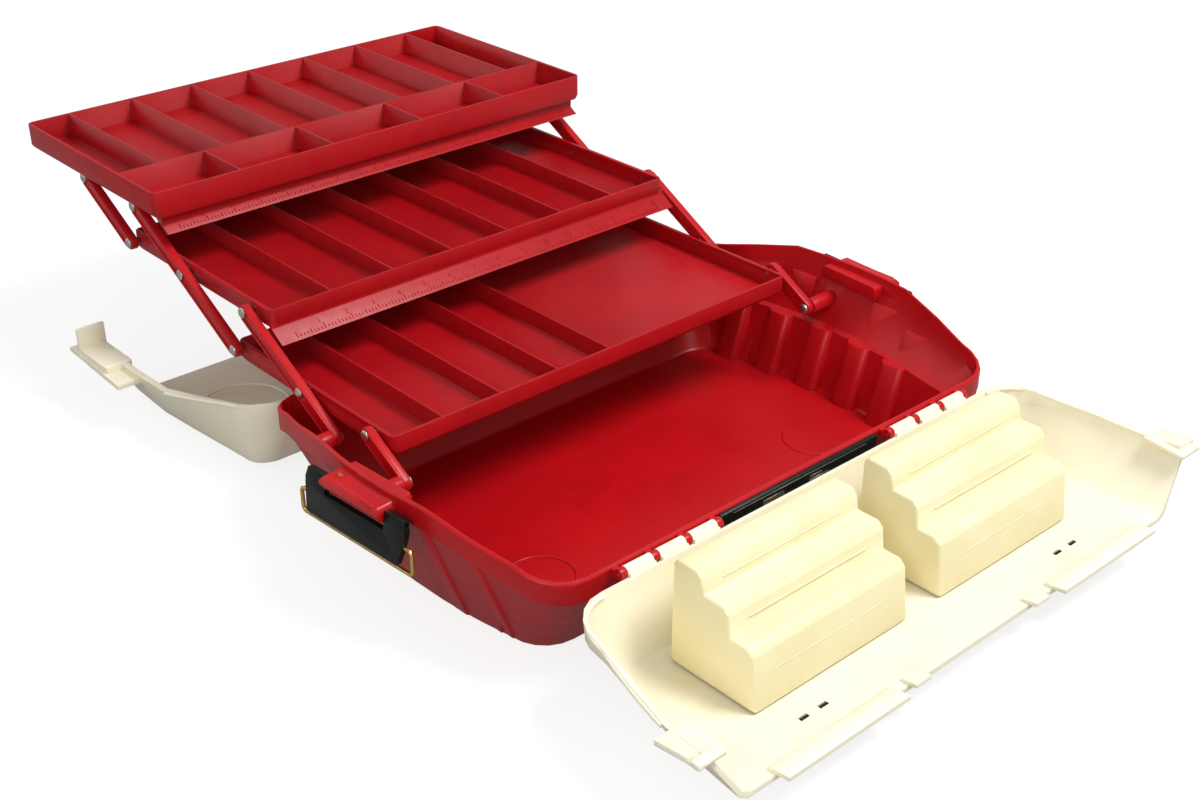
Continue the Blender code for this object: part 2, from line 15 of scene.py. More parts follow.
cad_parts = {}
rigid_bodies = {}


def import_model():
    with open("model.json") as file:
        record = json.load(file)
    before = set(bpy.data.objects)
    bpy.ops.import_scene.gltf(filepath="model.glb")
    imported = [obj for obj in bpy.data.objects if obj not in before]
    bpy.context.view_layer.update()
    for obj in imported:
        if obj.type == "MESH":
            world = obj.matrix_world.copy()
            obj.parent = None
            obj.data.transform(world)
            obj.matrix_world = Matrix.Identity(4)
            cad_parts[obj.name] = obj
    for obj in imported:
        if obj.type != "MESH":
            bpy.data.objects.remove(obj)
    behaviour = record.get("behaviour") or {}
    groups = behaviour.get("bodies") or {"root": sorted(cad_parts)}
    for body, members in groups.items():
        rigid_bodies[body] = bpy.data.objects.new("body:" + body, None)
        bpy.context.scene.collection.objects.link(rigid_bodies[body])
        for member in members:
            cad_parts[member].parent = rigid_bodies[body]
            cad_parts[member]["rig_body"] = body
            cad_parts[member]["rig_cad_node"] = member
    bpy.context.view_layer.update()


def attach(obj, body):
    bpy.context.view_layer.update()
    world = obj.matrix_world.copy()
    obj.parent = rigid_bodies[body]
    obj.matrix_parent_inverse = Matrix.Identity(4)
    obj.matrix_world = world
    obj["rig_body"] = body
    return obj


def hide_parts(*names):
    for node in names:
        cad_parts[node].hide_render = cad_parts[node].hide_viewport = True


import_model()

LOG = logging.getLogger("tackle_box")
MM = 0.001
# The rim that the base and both lids share, in millimetres.
RIM_DEPTH = 168.0  # from the middle to the long sides
RIM_END = 234.0  # from the middle to the ends, at the start of the corners
RIM_BULGE = 22.0  # how much further out the middle of each end is
RIM_STRAIGHT = 133.0  # where the ends' corners start
RIM_CORNER = 35.0
RIM_LOW = 83.0
RIM_RISE = 25.0
RIM_RAMP = 108.0  # the depth over which the rim rises from its low to its high part
FRONT_HINGE = (-175.0, 81.0)
REAR_HINGE = (176.0, 77.0)
FRONT_OPEN = math.radians(172.0)
REAR_OPEN = math.radians(-177.0)
Point = tuple[float, float, float]


class Side(Enum):
    """An end of the box."""

    LEFT = -1
    RIGHT = 1

    @property
    def word(self) -> str:
        """The word used in node names."""
        return self.name.lower()


# Modelling helpers


def only(obj: bpy.types.Object) -> None:
    """Selects one object alone and makes it active.

    Args:
        obj: The object to select.
    """
    if bpy.context.mode != "OBJECT":
        bpy.ops.object.mode_set(mode="OBJECT")
    bpy.ops.object.select_all(action="DESELECT")
    obj.select_set(True)
    bpy.context.view_layer.objects.active = obj


def settle(obj: bpy.types.Object, name: str) -> bpy.types.Object:
    """Puts an object's place into its mesh and names it.

    Args:
        obj: The object to settle.
        name: Its new name.

    Returns:
        The same object, at the origin.
    """
    only(obj)
    bpy.ops.object.transform_apply(location=True, rotation=True, scale=True)
    obj.name = name
    obj.data.name = name
    return obj


def pick_edges(obj: bpy.types.Object, test: Callable[[bmesh.types.BMEdge], bool]) -> None:
    """Enters edit mode with only the edges that pass the test selected.

    Args:
        obj: A mesh object.
        test: Says whether an edge is wanted.
    """
    only(obj)
    bpy.ops.object.mode_set(mode="EDIT")
    bpy.ops.mesh.select_mode(type="EDGE")
    bpy.ops.mesh.select_all(action="DESELECT")
    mesh = bmesh.from_edit_mesh(obj.data)
    for edge in mesh.edges:
        if test(edge):
            edge.select_set(True)
    bmesh.update_edit_mesh(obj.data)


def leave_edit() -> None:
    """Goes back to object mode."""
    bpy.ops.object.mode_set(mode="OBJECT")


def modify(obj: bpy.types.Object, kind: str, **settings: object) -> bpy.types.Object:
    """Adds a modifier, sets it and applies it.

    Args:
        obj: The object to change.
        kind: The modifier's type.
        **settings: Its values.

    Returns:
        The same object.
    """
    only(obj)
    change = obj.modifiers.new(kind.title(), kind)
    for key, value in settings.items():
        setattr(change, key, value)
    bpy.ops.object.modifier_apply(modifier=change.name)
    return obj


def soften(obj: bpy.types.Object, width: float, segments: int = 2, angle: float = 35.0) -> bpy.types.Object:
    """Rounds the sharp edges and shades the rest smooth.

    Args:
        obj: The object to round.
        width: The bevel's width in millimetres.
        segments: Its number of steps.
        angle: Edges sharper than this many degrees are rounded.

    Returns:
        The same object.
    """
    modify(obj, "BEVEL", width=width * MM, segments=segments, limit_method="ANGLE",
           angle_limit=math.radians(angle), use_clamp_overlap=True, miter_outer="MITER_ARC")
    only(obj)
    bpy.ops.object.shade_smooth_by_angle(angle=math.radians(40.0))
    return obj


def moulded_copy(node: str, name: str, width: float, segments: int = 2) -> bpy.types.Object:
    """A copy of a CAD node with its corners merged and its edges rounded.

    Args:
        node: The CAD node's name.
        name: The copy's name.
        width: The rounding in millimetres, or 0 for none.
        segments: The steps of the rounding.

    Returns:
        The new object, which replaces the node.
    """
    source = bpy.data.objects[node]
    mesh = source.data.copy()
    mesh.materials.clear()
    obj = bpy.data.objects.new(name, mesh)
    bpy.context.scene.collection.objects.link(obj)
    only(obj)
    bpy.ops.object.mode_set(mode="EDIT")
    bpy.ops.mesh.select_all(action="SELECT")
    bpy.ops.mesh.remove_doubles(threshold=0.00001)
    leave_edit()
    if width:
        soften(obj, width, segments)
    else:
        bpy.ops.object.shade_smooth_by_angle(angle=math.radians(40.0))
    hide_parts(node)
    return obj


def block(name: str, low: Point, high: Point) -> bpy.types.Object:
    """A block to be shaped further, between two corners in millimetres.

    Args:
        name: The object's name.
        low: Its lowest corner.
        high: Its highest corner.

    Returns:
        The block, settled at the origin.
    """
    middle = [(a + b) / 2 * MM for a, b in zip(low, high)]
    only_none()
    bpy.ops.mesh.primitive_cube_add(size=1.0, location=middle)
    made = bpy.context.object
    made.scale = [(b - a) * MM for a, b in zip(low, high)]
    return settle(made, name)


def only_none() -> None:
    """Leaves nothing selected."""
    if bpy.context.mode != "OBJECT":
        bpy.ops.object.mode_set(mode="OBJECT")
    bpy.ops.object.select_all(action="DESELECT")


def rod(name: str, start: Point, end: Point, radius: float, sides: int = 20) -> bpy.types.Object:
    """A round rod with turned-over ends, between two points in millimetres.

    Args:
        name: The object's name.
        start: One end.
        end: The other end.
        radius: Its radius.
        sides: Its number of sides.

    Returns:
        The rod, settled at the origin.
    """
    first, last = Vector(start), Vector(end)
    only_none()
    bpy.ops.mesh.primitive_cylinder_add(
        vertices=sides, radius=radius * MM, depth=(last - first).length * MM,
        location=(first + last) / 2 * MM)
    made = bpy.context.object
    made.rotation_euler = (last - first).to_track_quat("Z", "Y").to_euler()
    settle(made, name)
    return soften(made, radius * 0.25)


def push(obj: bpy.types.Object, test: Callable[[Vector], bool], by: Point) -> bpy.types.Object:
    """Moves the corners that pass the test, in edit mode.

    Args:
        obj: A settled object.
        test: Says whether a corner, in millimetres, is moved.
        by: How far, in millimetres.

    Returns:
        The same object.
    """
    only(obj)
    bpy.ops.object.mode_set(mode="EDIT")
    bpy.ops.mesh.select_mode(type="VERT")
    bpy.ops.mesh.select_all(action="DESELECT")
    mesh = bmesh.from_edit_mesh(obj.data)
    for corner in mesh.verts:
        if test(corner.co / MM):
            corner.select_set(True)
    bmesh.update_edit_mesh(obj.data)
    bpy.ops.transform.translate(value=[step * MM for step in by])
    leave_edit()
    return obj


def joined(name: str, pieces: Iterable[bpy.types.Object]) -> bpy.types.Object:
    """Joins pieces into one object.

    Args:
        name: The joined object's name.
        pieces: At least one object.

    Returns:
        The joined object.
    """
    parts = list(pieces)
    only(parts[0])
    for part in parts:
        part.select_set(True)
    if len(parts) > 1:
        bpy.ops.object.join()
    parts[0].name = name
    parts[0].data.name = name
    return parts[0]


def rim_height(y: float) -> float:
    """The height of the base's rim at a distance from its middle, in millimetres."""
    return RIM_LOW + RIM_RISE * max(0.0, min(1.0, (RIM_DEPTH - y) / RIM_RAMP))


def surface(node: str) -> BVHTree:
    """The surface of a CAD node, to find where its walls are.

    Args:
        node: The node's name.

    Returns:
        A tree that can be cast at.
    """
    mesh = bpy.data.objects[node].data
    return BVHTree.FromPolygons([v.co for v in mesh.vertices], [tuple(f.vertices) for f in mesh.polygons])


def meet(tree: BVHTree, start: Point, way: Point) -> Vector:
    """Where a straight line first meets a surface, in millimetres.

    Args:
        tree: The surface.
        start: Where the line starts, in millimetres.
        way: Its direction.

    Returns:
        The meeting point, or the start when nothing is met.
    """
    found = tree.ray_cast(Vector(start) * MM, Vector(way))[0]
    return (found if found is not None else Vector(start) * MM) / MM


def shift(x: float = 0.0, y: float = 0.0, z: float = 0.0) -> Matrix:
    """A move in millimetres."""
    return Matrix.Translation((x * MM, y * MM, z * MM))


# Finishes


def linear(code: str) -> tuple[float, float, float, float]:
    """Turns an sRGB hex colour into a linear one.

    Args:
        code: Such as "#b01016".

    Returns:
        Red, green, blue and alpha.
    """
    channels = [int(code[i:i + 2], 16) / 255 for i in (1, 3, 5)]
    turned = [c / 12.92 if c <= 0.04045 else ((c + 0.055) / 1.055) ** 2.4 for c in channels]
    return (turned[0], turned[1], turned[2], 1.0)


def add_node(tree: bpy.types.NodeTree, kind: str, links: dict[str, object] | None = None,
             **settings: object) -> bpy.types.Node:
    """Adds a node with its settings, its input values and its links.

    Args:
        tree: The material's node tree.
        kind: The node's type.
        links: Input name to an output socket or a plain value.
        **settings: The node's own properties.

    Returns:
        The node.
    """
    node = tree.nodes.new(kind)
    for key, value in settings.items():
        setattr(node, key, value)
    for key, value in (links or {}).items():
        place = node.inputs[int(key)] if key.isdigit() else node.inputs[key]
        if isinstance(value, bpy.types.NodeSocket):
            tree.links.new(value, place)
        else:
            place.default_value = value
    return node


@dataclass(frozen=True)
class MouldedPlastic:
    """An injection-moulded plastic: even colour with faint flow marks, a fine skin and paler worn edges.

    Attributes:
        name: The material's name.
        slot: The record's material slot; not used.
        colour: Its colour as hex.
        deep: The darker shade of the flow marks.
        worn: The colour along rubbed edges.
        roughness: The usual roughness.
        grain_mm: The spacing of the skin's fine texture.
        grain: How deep the skin's texture shows.
        glow: How much light passes through a thin wall.
        shine: The strength of the mirror-like skin.
    """

    name: str
    slot: str
    colour: str
    deep: str
    worn: str
    roughness: float
    grain_mm: float = 1.2
    grain: float = 0.05
    glow: float = 0.0
    shine: float = 0.4

    def make(self) -> bpy.types.Material:
        """Builds the node material.

        Returns:
            The material.
        """
        made = bpy.data.materials.new(self.name)
        made.use_nodes = True
        tree = made.node_tree
        shader = tree.nodes["Principled BSDF"]
        place = add_node(tree, "ShaderNodeTexCoord").outputs["Object"]
        # Flow marks and handling stains spread over about 60 mm.
        flow = add_node(tree, "ShaderNodeTexNoise", {"Vector": place, "Scale": 1 / 0.06, "Detail": 4.0,
                                                     "Roughness": 0.6, "Distortion": 0.6})
        tint = add_node(tree, "ShaderNodeMapRange", {"Value": flow.outputs["Fac"], "From Min": 0.35,
                                                     "From Max": 0.7, "To Min": 0.0, "To Max": 0.55})
        body = add_node(tree, "ShaderNodeMix", {"0": tint.outputs["Result"], "6": linear(self.colour),
                                                "7": linear(self.deep)}, data_type="RGBA")
        edges = add_node(tree, "ShaderNodeNewGeometry").outputs["Pointiness"]
        scuffs = add_node(tree, "ShaderNodeTexNoise", {"Vector": place, "Scale": 1 / 0.008, "Detail": 6.0})
        rubbed = add_node(tree, "ShaderNodeMapRange", {"Value": edges, "From Min": 0.52, "From Max": 0.6,
                                                       "To Min": 0.0, "To Max": 0.6})
        wear = add_node(tree, "ShaderNodeMath", {"0": rubbed.outputs["Result"], "1": scuffs.outputs["Fac"]},
                        operation="MULTIPLY")
        colour = add_node(tree, "ShaderNodeMix", {"0": wear.outputs["Value"], "6": body.outputs[2],
                                                  "7": linear(self.worn)}, data_type="RGBA")
        tree.links.new(colour.outputs[2], shader.inputs["Base Color"])
        gloss = add_node(tree, "ShaderNodeMapRange", {"Value": scuffs.outputs["Fac"], "From Min": 0.3,
                                                      "From Max": 0.75, "To Min": self.roughness - 0.02,
                                                      "To Max": self.roughness + 0.05})
        tree.links.new(gloss.outputs["Result"], shader.inputs["Roughness"])
        skin = add_node(tree, "ShaderNodeTexNoise", {"Vector": place, "Scale": 1 / (self.grain_mm * MM),
                                                     "Detail": 2.0})
        sink = add_node(tree, "ShaderNodeTexNoise", {"Vector": place, "Scale": 1 / 0.03, "Detail": 1.0})
        fine = add_node(tree, "ShaderNodeBump", {"Height": skin.outputs["Fac"], "Strength": self.grain,
                                                 "Distance": 0.0004})
        wavy = add_node(tree, "ShaderNodeBump", {"Height": sink.outputs["Fac"], "Strength": 0.12,
                                                 "Distance": 0.0012, "Normal": fine.outputs["Normal"]})
        tree.links.new(wavy.outputs["Normal"], shader.inputs["Normal"])
        shader.inputs["IOR"].default_value = 1.49
        shader.inputs["Specular IOR Level"].default_value = self.shine
        if self.glow:
            shader.inputs["Subsurface Weight"].default_value = self.glow
            shader.inputs["Subsurface Radius"].default_value = (0.012, 0.009, 0.005)
            shader.inputs["Subsurface Scale"].default_value = 0.6
        return made


@dataclass(frozen=True)
class DrawnMetal:
    """A drawn or plated metal: bright, with fine scratches and dull spots.

    Attributes:
        name: The material's name.
        slot: The record's material slot; not used.
        colour: Its colour as hex.
        tarnish: The colour of the dull spots.
        roughness: The usual roughness.
    """

    name: str
    slot: str
    colour: str
    tarnish: str
    roughness: float

    def make(self) -> bpy.types.Material:
        """Builds the node material.

        Returns:
            The material.
        """
        made = bpy.data.materials.new(self.name)
        made.use_nodes = True
        tree = made.node_tree
        shader = tree.nodes["Principled BSDF"]
        shader.inputs["Metallic"].default_value = 1.0
        place = add_node(tree, "ShaderNodeTexCoord").outputs["Object"]
        spots = add_node(tree, "ShaderNodeTexNoise", {"Vector": place, "Scale": 1 / 0.004, "Detail": 5.0})
        dull = add_node(tree, "ShaderNodeMapRange", {"Value": spots.outputs["Fac"], "From Min": 0.5,
                                                     "From Max": 0.72, "To Min": 0.0, "To Max": 0.8})
        colour = add_node(tree, "ShaderNodeMix", {"0": dull.outputs["Result"], "6": linear(self.colour),
                                                  "7": linear(self.tarnish)}, data_type="RGBA")
        tree.links.new(colour.outputs[2], shader.inputs["Base Color"])
        rough = add_node(tree, "ShaderNodeMapRange", {"Value": spots.outputs["Fac"],
                                                      "To Min": self.roughness - 0.08,
                                                      "To Max": self.roughness + 0.2})
        tree.links.new(rough.outputs["Result"], shader.inputs["Roughness"])
        # Draw lines about half a millimetre apart, coarser than real ones so that they show.
        lines = add_node(tree, "ShaderNodeTexNoise", {"Vector": place, "Scale": 1 / 0.0005, "Detail": 1.0})
        bump = add_node(tree, "ShaderNodeBump", {"Height": lines.outputs["Fac"], "Strength": 0.08,
                                                 "Distance": 0.0001})
        tree.links.new(bump.outputs["Normal"], shader.inputs["Normal"])
        return made


# Polypropylene with a glossy tool finish: deep even red and a soft sheen.
RED = MouldedPlastic("red_polypropylene", "red_polypropylene", "#b40c14", "#9d0911", "#c8262b", 0.32,
                     grain=0.03, shine=0.3)
# The same plastic in the trays, given a darker red than the base as painted shade for the shade that falls in
# the trays' pockets.
TRAY_RED_PAINTED_SHADE = MouldedPlastic("tray_polypropylene", "red_polypropylene", "#a60b13", "#8e080f", "#c22429", 0.38,
                          grain=0.02, shine=0.3)
# Ivory polypropylene with a satin tool finish: warm white.
IVORY = MouldedPlastic("ivory_polypropylene", "ivory_polypropylene", "#efe8d0", "#e6ddc0", "#f6f1e2", 0.4,
                       grain=0.04, glow=0.05)
# Natural polypropylene, cloudy and yellower, with light passing through its walls.
CREAM = MouldedPlastic("natural_polypropylene", "cream_polypropylene", "#ece1b8", "#e2d49c", "#f5edcc", 0.42,
                       grain=0.04, glow=0.15)
# Black nylon: nearly black with a satin skin.
BLACK = MouldedPlastic("black_nylon", "black_nylon", "#0b0e0f", "#060808", "#262b2c", 0.34, grain=0.06,
                       shine=0.25)
# Brass-plated spring wire.
BRASS = DrawnMetal("brass_wire", "brass_wire", "#d8b66c", "#9a7c44", 0.25)
# Zinc-plated steel.
STEEL = DrawnMetal("zinc_plated_steel", "zinc_steel", "#c9c9c4", "#8f8f8a", 0.32)
# Silvered foil on the label plate.
FOIL = DrawnMetal("label_foil", "black_nylon", "#b9b4a4", "#77735f", 0.3)

_made: dict[str, bpy.types.Material] = {}


def dress(obj: bpy.types.Object, finish: MouldedPlastic | DrawnMetal, body: str) -> bpy.types.Object:
    """Gives a piece its material and the body that it rides on.

    Args:
        obj: The finished piece.
        finish: Its finish.
        body: The CAD body's name.

    Returns:
        The same piece.
    """
    if finish.name not in _made:
        _made[finish.name] = finish.make()
    obj.data.materials.clear()
    obj.data.materials.append(_made[finish.name])
    for face in obj.data.polygons:
        face.material_index = 0
    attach(obj, body)
    LOG.info("%s rides on %s", obj.name, body)
    return obj


# Sub-assemblies


@dataclass
class BaseTub:
    """The deep red base with its end flutes, floor marks and label plate.

    Attributes:
        flute_depths: Where the flutes stand along each end wall, in millimetres.
        flute_width: How wide a flute is.
        rib_depths: Where the outer ribs stand.
        rib_half: Half of an outer rib's width.
        rib_top: The height of an outer rib at the low part of the rim.
        rib_proud: How far a rib stands out of the wall.
        arc_place: The x and y of the floor arcs' centres.
        arc_radius: Their radius.
        shelf: The height of the shelf at the flutes' heads.
    """

    flute_depths: tuple[float, ...] = (-78.0, -36.0, 8.0, 52.0, 94.0)
    flute_width: float = 25.0
    rib_depths: tuple[float, ...] = (-88.0, -46.0, 46.0, 88.0)
    rib_half: float = 14.0
    rib_top: float = 66.0
    rib_proud: float = 1.1
    arc_place: tuple[float, float] = (148.0, -58.0)
    arc_radius: float = 26.0
    shelf: float = 55.5

    def build(self) -> None:
        """Builds and dresses every piece of the base."""
        tub = moulded_copy("base_tub", "tub", 0.9, 3)
        dress(tub, RED, "box_base")
        for side in Side:
            dress(self.flutes(side), RED, "box_base")
            dress(self.outer_ribs(side), RED, "box_base")
        dress(self.floor_arcs(), RED, "box_base")
        self.label()
        for where in ("front", "rear"):
            for side in Side:
                pin = moulded_copy(f"{where}_hinge_pin_{side.word}", f"{where}_pin_{side.word}", 0.3)
                dress(pin, STEEL, "box_base")

    def flutes(self, side: Side) -> bpy.types.Object:
        """The row of rounded buttresses inside one end wall.

        Args:
            side: The end of the box.

        Returns:
            The joined flutes.
        """
        tub = surface("base_tub")
        made = []
        half = self.flute_width / 2
        for y in self.flute_depths:
            foot = min(meet(tub, (150.0, y + s, 6.0), (1, 0, 0)).x for s in (-half, half))
            head = min(meet(tub, (150.0, y + s, self.shelf - 4.0), (1, 0, 0)).x for s in (-half, half))
            flute = block("flute", (foot - 9.0, y - half, 2.6), (foot + 4.0, y + half, self.shelf - 0.5))
            push(flute, lambda p: p.z > 40 and p.x > foot, (head - foot, 0, 0))
            push(flute, lambda p: p.z > 40 and p.x < foot, (head - foot + 6.0, 0, 0))
            pick_edges(flute, lambda e: self.upright(e, foot, head))
            bpy.ops.mesh.bevel(offset=6.5 * MM, segments=5)
            leave_edit()
            made.append(soften(flute, 0.8))
        row = joined(f"end_flutes_{side.word}", made)
        if side is Side.LEFT:
            self.mirror(row)
        return row

    def upright(self, edge: bmesh.types.BMEdge, foot: float, head: float) -> bool:
        """Whether an edge is one of a buttress's two standing outer corners.

        Args:
            edge: The edge.
            foot: The wall's distance at the foot.
            head: The wall's distance at the head.

        Returns:
            True for a standing edge on the open side.
        """
        a, b = (v.co / MM for v in edge.verts)
        if abs(a.z - b.z) < 20:
            return False
        low, high = (a, b) if a.z < b.z else (b, a)
        return low.x < foot - 2 and high.x < head + 1

    def outer_ribs(self, side: Side) -> bpy.types.Object:
        """The shallow fluting outside one end wall.

        Args:
            side: The end of the box.

        Returns:
            The joined ribs.
        """
        tub = surface("base_tub")
        made = []
        for y in self.rib_depths:
            foot = min(meet(tub, (400.0, y + s, 8.0), (-1, 0, 0)).x for s in (-12.0, 12.0))
            head = min(meet(tub, (400.0, y + s, 60.0), (-1, 0, 0)).x for s in (-12.0, 12.0))
            slope = (head - foot) / (60.0 - 8.0)
            top = self.rib_top + 22.0 * min(1.0, (RIM_DEPTH - abs(y) - self.rib_half) / RIM_RAMP)
            low, high = foot - 5.0 * slope, foot + (top - 8.0) * slope
            rib = block("rib", (low - 3.0, y - self.rib_half, 2.4),
                        (low + self.rib_proud, y + self.rib_half, top))
            push(rib, lambda p: p.z > 40, (high - low, 0, 0))
            pick_edges(rib, lambda e: abs(e.verts[0].co.z - e.verts[1].co.z) > 0.02
                       and min(v.co.x / MM - (low if v.co.z < 0.04 else high) for v in e.verts) > 0.5)
            bpy.ops.mesh.bevel(offset=3.0 * MM, segments=4)
            leave_edit()
            made.append(soften(rib, 0.8))
        row = joined(f"outer_ribs_{side.word}", made)
        if side is Side.LEFT:
            self.mirror(row)
        return row

    def mirror(self, obj: bpy.types.Object) -> None:
        """Turns a right-hand piece into a left-hand one.

        Args:
            obj: The piece, settled at the origin.
        """
        obj.data.transform(Matrix.Scale(-1.0, 4, (1, 0, 0)))
        only(obj)
        bpy.ops.object.mode_set(mode="EDIT")
        bpy.ops.mesh.select_all(action="SELECT")
        bpy.ops.mesh.normals_make_consistent(inside=False)
        leave_edit()

    def floor_arcs(self) -> bpy.types.Object:
        """The two raised arcs moulded into the floor.

        Returns:
            The joined arcs.
        """
        made = []
        depth = self.arc_place[1]
        for centre, turn in ((-self.arc_place[0], 20.0), (self.arc_place[0], 200.0)):
            only_none()
            bpy.ops.mesh.primitive_torus_add(
                major_segments=48, minor_segments=8, major_radius=self.arc_radius * MM, minor_radius=1.1 * MM,
                location=(centre * MM, depth * MM, 3.0 * MM))
            arc = settle(bpy.context.object, "floor_arc")
            only(arc)
            bpy.ops.object.mode_set(mode="EDIT")
            bpy.ops.mesh.select_all(action="SELECT")
            angle = math.radians(turn)
            bpy.ops.mesh.bisect(plane_co=(centre * MM, depth * MM, 0.0),
                                plane_no=(math.cos(angle), math.sin(angle), 0.0),
                                clear_inner=True, use_fill=True)
            leave_edit()
            bpy.ops.object.shade_smooth_by_angle(angle=math.radians(50))
            made.append(arc)
        return joined("floor_arcs", made)

    def label(self) -> None:
        """The black plate between the front hinges, with a plain foil border and emblem."""
        plate = moulded_copy("label_plate", "front_plate", 0.5)
        dress(plate, BLACK, "box_base")
        strips = []
        for x0, x1, z0, z1 in ((-70, 70, 78.2, 79.0), (-70, 70, 67.6, 68.4), (-40, -18, 71.0, 75.6),
                               (8, 30, 70.6, 73.2), (8, 22, 74.4, 76.0)):
            strip = block("foil", (x0, -171.5, z0), (x1, -171.1, z1))
            push(strip, lambda p: p.z > (z0 + z1) / 2 and p.x > (x0 + x1) / 2, (-1.2, 0, 0))
            strips.append(soften(strip, 0.08, 1))
        dress(joined("plate_foil", strips), FOIL, "box_base")


@dataclass
class Lids:
    """The two ivory lids, the stepped cases and the carrying handle.

    Attributes:
        line_places: The y and z of the raised lines on the cases' risers.
        bead_radius: The radius of the rim's bead.
        bead_rise: How far the bead's middle is above the rim, with the lid shut.
        bead_out: How far it is outside the rim.
        ring_place: The x and y of the moulded rings in the rear lid.
        ring_radius: Their radius.
    """

    line_places: tuple[tuple[float, float], ...] = ((-236.0, 96.0), (-260.2, 79.0), (-281.8, 50.0))
    bead_radius: float = 1.5
    bead_rise: float = 2.6
    bead_out: float = 0.2
    ring_place: tuple[float, float] = (176.0, 300.0)
    ring_radius: float = 38.0

    def build(self) -> None:
        """Builds and dresses every piece of the lids."""
        front = moulded_copy("front_lid", "front_cover", 0.8, 3)
        dress(front, IVORY, "front_cover")
        rear = moulded_copy("rear_lid", "rear_cover", 0.8, 3)
        dress(rear, IVORY, "rear_cover")
        for side in Side:
            case = moulded_copy(f"stepped_case_{side.word}", f"lure_case_{side.word}", 4.0, 4)
            dress(case, CREAM, "front_cover")
            dress(self.case_lines(side), CREAM, "front_cover")
            bracket = moulded_copy(f"handle_bracket_{side.word}", f"bracket_{side.word}", 0.8, 2)
            dress(bracket, BLACK, "front_cover")
            dress(self.front_ear(side), IVORY, "front_cover")
            dress(self.rear_ear(side), IVORY, "rear_cover")
            dress(self.rim_bead(side, -1), IVORY, "front_cover")
            dress(self.rim_bead(side, 1), IVORY, "rear_cover")
        bail = moulded_copy("carry_handle", "carrying_handle", 2.4, 3)
        dress(bail, BLACK, "handle")
        dress(self.rear_ring(), IVORY, "rear_cover")

    def rim_bead(self, side: Side, end: int) -> bpy.types.Object:
        """The raised bead round one outer corner of a lid's rim.

        Args:
            side: The end of the box.
            end: -1 for the front lid, 1 for the rear lid.

        Returns:
            The bead.
        """
        hinge, turn = (FRONT_HINGE, FRONT_OPEN) if end < 0 else (REAR_HINGE, REAR_OPEN)
        flat = [(RIM_END + RIM_BULGE * (1 - (y / RIM_STRAIGHT) ** 2), y) for y in range(64, 134, 6)]
        flat += [(RIM_END - RIM_CORNER + RIM_CORNER * math.cos(a), RIM_STRAIGHT + RIM_CORNER * math.sin(a))
                 for a in (math.radians(10 * i) for i in range(1, 10))]
        points = []
        for x, y in flat:
            height = rim_height(y) + self.bead_rise
            dy, dz = end * y - hinge[0], height - hinge[1]
            points.append((side.value * (x + self.bead_out),
                           hinge[0] + dy * math.cos(turn) - dz * math.sin(turn),
                           hinge[1] + dy * math.sin(turn) + dz * math.cos(turn)))
        only_none()
        bpy.ops.curve.primitive_bezier_curve_add()
        path = bpy.context.object
        path.data.splines.clear()
        line = path.data.splines.new("POLY")
        line.points.add(len(points) - 1)
        for spot, place in zip(line.points, points):
            spot.co = (*[v * MM for v in place], 1.0)
        path.location = (0.0, 0.0, 0.0)
        path.data.bevel_depth = self.bead_radius * MM
        path.data.bevel_resolution = 3
        path.data.use_fill_caps = True
        bpy.ops.object.convert(target="MESH")
        bead = settle(bpy.context.object, f"{'front' if end < 0 else 'rear'}_rim_bead_{side.word}")
        only(bead)
        bpy.ops.object.shade_smooth_by_angle(angle=math.radians(50))
        return bead

    def case_lines(self, side: Side) -> bpy.types.Object:
        """The thin raised lines on the risers of one stepped case.

        Args:
            side: The end of the box.

        Returns:
            The joined lines.
        """
        lines = []
        for y, z in self.line_places:
            x0, x1 = sorted((side.value * 36.0, side.value * 148.0))
            lines.append(soften(block("line", (x0, y - 0.5, z - 0.7), (x1, y + 1.4, z + 0.7)), 0.4))
        return joined(f"case_lines_{side.word}", lines)

    def front_ear(self, side: Side) -> bpy.types.Object:
        """The shelf and upturned tip at one end of the front lid's meeting edge.

        Args:
            side: The end of the box.

        Returns:
            The joined ear pieces.
        """
        x0, x1 = sorted((side.value * 239.0, side.value * 262.0))
        shelf = block("ear", (x0, -330.0, 66.0), (x1, -296.0, 70.0))
        inner = (lambda p: abs(p.x) < 250.0 and p.y > -310.0)
        push(shelf, inner, (0, 0, 3.0))
        soften(shelf, 1.4, 3)
        x0, x1 = sorted((side.value * 257.6, side.value * 262.4))
        tip = block("tip", (x0, -331.0, 67.0), (x1, -325.0, 71.2))
        push(tip, lambda p: p.z > 70, (0, 1.0, 0))
        soften(tip, 1.0, 3)
        return joined(f"front_ear_{side.word}", [shelf, tip])

    def rear_ear(self, side: Side) -> bpy.types.Object:
        """The block and raised flap at one end of the rear lid's meeting edge.

        Args:
            side: The end of the box.

        Returns:
            The joined ear pieces.
        """
        x0, x1 = sorted((side.value * 246.0, side.value * 271.0))
        body = block("ear", (x0, 352.0, 44.0), (x1, 400.0, 56.0))
        push(body, lambda p: abs(p.x) > 260 and p.z < 50, (side.value * -3.0, 0, 0))
        soften(body, 2.0, 3)
        flap = block("flap", (x0, 396.0, 52.0), (x1, 399.5, 74.0))
        soften(flap, 1.0, 2)
        return joined(f"rear_ear_{side.word}", [body, flap])

